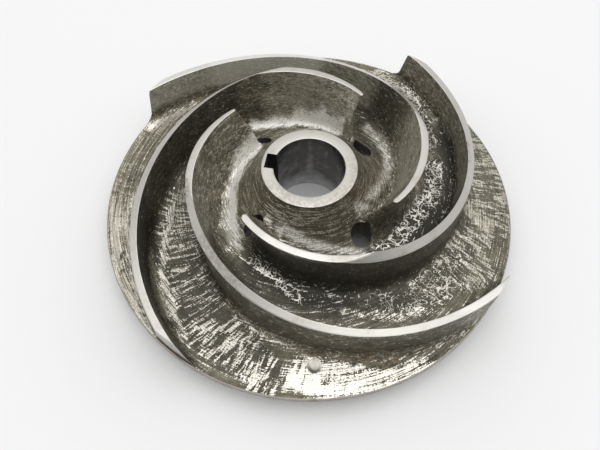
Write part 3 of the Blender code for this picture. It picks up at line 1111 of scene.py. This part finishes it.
veining = {
    "layers": ((12.0, 0.030), (7.0, 0.042), (4.0, 0.060)),   # size in mm and width of the line
    "roughness": (1.0, 0.5),            # detail and roughness of each
    "patches": (0.16, 2.0),
    "patchRange": (0.34, 0.54, 0.75, 1.0),
}


def hatchMarks(tree, place):
    # score marks square to the vanes, with finer marks along and across them
    radius = place["radius"]
    angle = calc(tree, "ARCTAN2", place["x"], multiply(tree, place["y"], -1.0))
    lean = multiply(tree, calc(tree, "LOGARITHM", radius, e), hatching["slant"])
    along = multiply(tree, add(tree, angle, lean), hatching["radius"])
    wander = calc(tree, "SUBTRACT", noiseAt(tree, place["vector"], *hatching["wanderNoise"]), 0.5)
    along = add(tree, along, multiply(tree, wander, hatching["wander"]))
    marks = {}
    for name in ("bars", "scratches", "crossMarks", "lines"):
        width, length, layer = hatching[name]
        across, out = calc(tree, "DIVIDE", along, width), calc(tree, "DIVIDE", radius, length)
        marks[name] = noiseAt(tree, joinXyz(tree, across, out, layer), 1.0, hatching["detail"])
    marks["lines"] = ridge(tree, marks["lines"], hatching["lineWidth"])
    return marks


def veins(tree, place):
    # thin bright winding lines, in patches
    lines = 0.0
    for size, width in veining["layers"]:
        layer = noiseAt(tree, place["vector"], 1.0 / size, *veining["roughness"])
        lines = calc(tree, "MAXIMUM", lines, ridge(tree, layer, width))
    patches = noiseAt(tree, place["vector"], *veining["patches"])
    return multiply(tree, lines, ramp(tree, patches, *veining["patchRange"]))


def skinMarks(tree, place):
    marks = {name: brushMarks(tree, place, *castSkin[name]) for name in ("streaks", "broad", "flecks")}
    marks["streaks"] = ramp(tree, marks["streaks"], *castSkin["streakRange"])
    for name in ("grain", "mottle", "blotch"):
        marks[name] = noiseAt(tree, place["vector"], *castSkin[name])
    marks["veins"] = veins(tree, place)
    marks.update(hatchMarks(tree, place))
    return marks


def castFinish(name):
    finish, tree, shader = newFinish(name)
    place = placeInMm(tree)
    marks = skinMarks(tree, place)

    def swinging(kind):
        return swing(tree, marks, castSkin["gains"][kind])

    # the cast skin, lighter where it was brushed, darker where shade is painted, paler where light is
    # painted, and its rust
    tone = multiply(tree, attribute(tree, "tone"), add(tree, 1.0, swinging("tone")), clamp=True)
    dark = mixColour(tree, tone, castSkin["charcoal"], castSkin["skin"])
    # painted light: where pale is high the skin turns pale
    pale = multiply(tree, attribute(tree, "pale"), add(tree, 1.0, swinging("pale")), clamp=True)
    dark = mixColour(tree, pale, dark, castSkin["pale"])
    rustSpots = ramp(tree, noiseAt(tree, place["vector"], *castSkin["rustSpots"]), *castSkin["rustRange"])
    rust = multiply(tree, attribute(tree, "rust"), rustSpots, clamp=True)
    dark = mixColour(tree, rust, dark, castSkin["rust"])

    # how much bare metal shows
    pattern = blendValue(tree, attribute(tree, "hatch"), swinging("plain"), swinging("scored"))
    pattern = blendValue(tree, attribute(tree, "web"), pattern, swinging("veined"))
    shown = ramp(tree, add(tree, attribute(tree, "bare"), pattern), *castSkin["bareRange"])
    cover = calc(tree, "SUBTRACT", 1.0, multiply(tree, rust, castSkin["rustCover"]))
    shown = multiply(tree, shown, cover)

    polish = add(tree, attribute(tree, "shine"), swinging("shine"), clamp=True)
    metal = mixColour(tree, polish, castSkin["dull"], castSkin["bare"])
    # painted highlight: the brightest rubbed places turn nearly white
    metal = mixColour(tree, multiply(tree, pale, polish), metal, castSkin["rubbedAndHighlight"])
    skinMetal = blendValue(tree, pale, castSkin["skinMetal"], 0.0)
    bareMetal = blendValue(tree, pale, 1.0, castSkin["paleMetal"])
    roughness = blendValue(tree, shown, castSkin["skinRoughness"], castSkin["bareRoughness"])
    feed(tree, shader.inputs["Base Color"], mixColour(tree, shown, dark, metal))
    feed(tree, shader.inputs["Metallic"], blendValue(tree, shown, skinMetal, bareMetal))
    feed(tree, shader.inputs["Roughness"], roughness)
    relief = add(tree, swinging("relief"), multiply(tree, shown, castSkin["bareRelief"]))
    addBump(tree, shader, relief, castSkin["bumpHeight"])
    return finish


# the turned and drilled faces

turnedFaces = {
    "turnedFace": {
        "colour": (0.52, 0.507, 0.468), "stain": (0.36, 0.315, 0.25), "stained": 0.5,
        "lineWidth": 0.5, "lineDepth": 0.35, "roughness": 0.32},
    "rimFace": {
        "colour": (0.36, 0.33, 0.30), "stain": (0.20, 0.15, 0.115), "stained": 0.8,
        "lineWidth": 0.5, "lineDepth": 0.35, "roughness": 0.40},
    "boreWall": {
        "colour": (0.135, 0.130, 0.120), "stain": (0.075, 0.069, 0.058), "stained": 0.7,
        "lineWidth": 9.0, "lineDepth": 0.5, "roughness": 0.26},
    "drilledWall": {
        "colour": (0.20, 0.20, 0.20), "stain": (0.08, 0.075, 0.065), "stained": 0.8,
        "lineWidth": 1.0, "lineDepth": 0.6, "roughness": 0.34},
}

lathe = {
    "polishedAndHighlight": (0.80, 0.79, 0.755),    # where a turned face is worn brightest, and its painted highlight
    "lineLength": 90.0,
    "spots": (0.09, 5.0, 0.6),          # scale, detail and roughness
    "spotRange": (0.50, 0.75),
    "grain": (1.4, 2.0),
    "rustSpots": (0.35, 4.0),
    "rustRange": (0.40, 0.58),
    "roughnessGains": {"lines": 0.20, "spots": 0.15},
    "bumpHeight": 0.05,
}

# painted reflection of the floor, lighter low in the bore, and a lighter run of it down the wall
boreReflection = {
    "colour": (0.54, 0.54, 0.545),
    "heights": (22.0, 1.0),
    "runAt": 0.8,                       # place across, in mm
    "runWidth": 4.0,
    "run": 0.28,
    "patches": (0.2, 3.0),
    "gains": {"spots": 1.2, "patches": 0.8},
}


def addPaintedReflection(tree, place, marks, colour):
    beside = calc(tree, "ABSOLUTE", calc(tree, "SUBTRACT", place["x"], boreReflection["runAt"]))
    run = ramp(tree, beside, boreReflection["runWidth"], 0.0, 0.0, boreReflection["run"])
    reflected = calc(tree, "MAXIMUM", ramp(tree, place["z"], *boreReflection["heights"]), run)
    marks["patches"] = noiseAt(tree, place["vector"], *boreReflection["patches"])
    reflected = add(tree, reflected, swing(tree, marks, boreReflection["gains"]), clamp=True)
    return mixColour(tree, reflected, colour, boreReflection["colour"])


def turnedFinish(name):
    # bare metal with fine lathe lines round the axis, a little stained
    face = turnedFaces[name]
    finish, tree, shader = newFinish(name)
    place = placeInMm(tree)
    marks = {
        "lines": brushMarks(tree, place, lathe["lineLength"], face["lineWidth"]),
        "spots": noiseAt(tree, place["vector"], *lathe["spots"]),
        "grain": noiseAt(tree, place["vector"], *lathe["grain"]),
    }
    stain = multiply(tree, ramp(tree, marks["spots"], *lathe["spotRange"]), face["stained"])
    stainGains = {"lines": face["lineDepth"] * 2, "grain": face["lineDepth"] * 1.5}
    stain = add(tree, stain, swing(tree, marks, stainGains), clamp=True)
    rustSpots = ramp(tree, noiseAt(tree, place["vector"], *lathe["rustSpots"]), *lathe["rustRange"])
    colour = mixColour(tree, stain, face["colour"], face["stain"])
    # lighter where worn brightest, and the painted highlight, where pale is high
    colour = mixColour(tree, attribute(tree, "pale"), colour, lathe["polishedAndHighlight"])
    # rust spots, and the painted shadow on the tip of vane A
    colour = mixColour(tree, multiply(tree, attribute(tree, "rust"), rustSpots), colour, castSkin["rust"])
    # the bore wall also gets a painted reflection of the floor, lighter low down
    if name == "boreWall":
        colour = addPaintedReflection(tree, place, marks, colour)
    roughness = add(tree, swing(tree, marks, lathe["roughnessGains"]), face["roughness"])
    feed(tree, shader.inputs["Base Color"], colour)
    feed(tree, shader.inputs["Roughness"], roughness)
    shader.inputs["Metallic"].default_value = 1.0
    addBump(tree, shader, marks["lines"], lathe["bumpHeight"])
    return finish


# the impeller, its finishes in the order of zoneOf

bodyMesh = buildBody()
unevenCasting(bodyMesh)
impeller = bpy.data.objects.new("impeller", bodyMesh)
bpy.context.scene.collection.objects.link(impeller)
for finish in (castFinish("castFace"), turnedFinish("turnedFace"), turnedFinish("rimFace"),
               castFinish("castBack"), turnedFinish("boreWall"), turnedFinish("drilledWall")):
    impeller.data.materials.append(finish)
drillBody(impeller)
paintWearAndLight(impeller.data)
impeller.data.shade_smooth()
impeller.data.set_sharp_from_angle(angle=radians(casting["sharpAngle"]))
# turned faces shade flat up to their edges
flatFaces = impeller.modifiers.new("flatFaces", "WEIGHTED_NORMAL")
flatFaces.keep_sharp = True
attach(impeller, "root")
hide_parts("impeller_casting")
print("impeller made")


# floor, light and camera

studio = {
    "floorSize": 6.0,
    "floorColour": (0.87, 0.87, 0.87),
    "floorRoughness": 0.75,
    "wallLight": 0.90,                  # white surroundings
    "ceilingLight": 0.70,               # more from right above
    "ceilingRange": (0.70, 0.99),
    "frontShade": 0.58,                 # less from where the photographer stands
    "frontRange": (-0.15, -0.95),
    "softboxPower": 5.0,
    "softboxSize": (2.4, 1.5),
    "softboxPlace": (0.3, 0.35, 2.2),
}


def layFloor():
    half = studio["floorSize"] / 2
    mesh = bpy.data.meshes.new("paleFloor")
    corners = [(-half, -half, 0.0), (half, -half, 0.0), (half, half, 0.0), (-half, half, 0.0)]
    mesh.from_pydata(corners, [], [(0, 1, 2, 3)])
    floor = bpy.data.objects.new("paleFloor", mesh)
    bpy.context.scene.collection.objects.link(floor)
    finish, tree, shader = newFinish("paleFloor")
    feed(tree, shader.inputs["Base Color"], opaque(studio["floorColour"]))
    feed(tree, shader.inputs["Roughness"], studio["floorRoughness"])
    mesh.materials.append(finish)


def hangSoftbox():
    light = bpy.data.lights.new("softbox", "AREA")
    light.shape = "RECTANGLE"
    light.size, light.size_y = studio["softboxSize"]
    light.energy = studio["softboxPower"]
    lamp = bpy.data.objects.new("softbox", light)
    lamp.location = studio["softboxPlace"]
    lamp.rotation_euler = (-lamp.location).to_track_quat("-Z", "Y").to_euler()
    bpy.context.scene.collection.objects.link(lamp)


def paintWorld():
    world = bpy.data.worlds.new("studioWalls")
    world.use_nodes = True
    tree = world.node_tree
    background = tree.nodes["Background"]
    towards = addNode(tree, "ShaderNodeTexCoord").outputs["Generated"]
    direction = addNode(tree, "ShaderNodeSeparateXYZ", {0: towards}).outputs
    ceiling = ramp(tree, direction["Z"], *studio["ceilingRange"], 0.0, studio["ceilingLight"])
    front = ramp(tree, direction["Y"], *studio["frontRange"], 0.0, studio["frontShade"])
    light = calc(tree, "SUBTRACT", add(tree, ceiling, studio["wallLight"]), front)
    feed(tree, background.inputs["Strength"], light)
    feed(tree, background.inputs["Color"], (1.0, 1.0, 1.0, 1.0))
    bpy.context.scene.world = world


def placeCamera():
    lensData = bpy.data.cameras.new("camera")
    lensData.lens, lensData.sensor_width = view["lens"], view["sensor"]
    camera = bpy.data.objects.new("camera", lensData)
    camera.matrix_world = cameraMatrix()
    bpy.context.scene.collection.objects.link(camera)
    bpy.context.scene.camera = camera


layFloor()
hangSoftbox()
paintWorld()
placeCamera()
bpy.context.scene.view_settings.view_transform = "Standard"
print("floor, light and camera set")
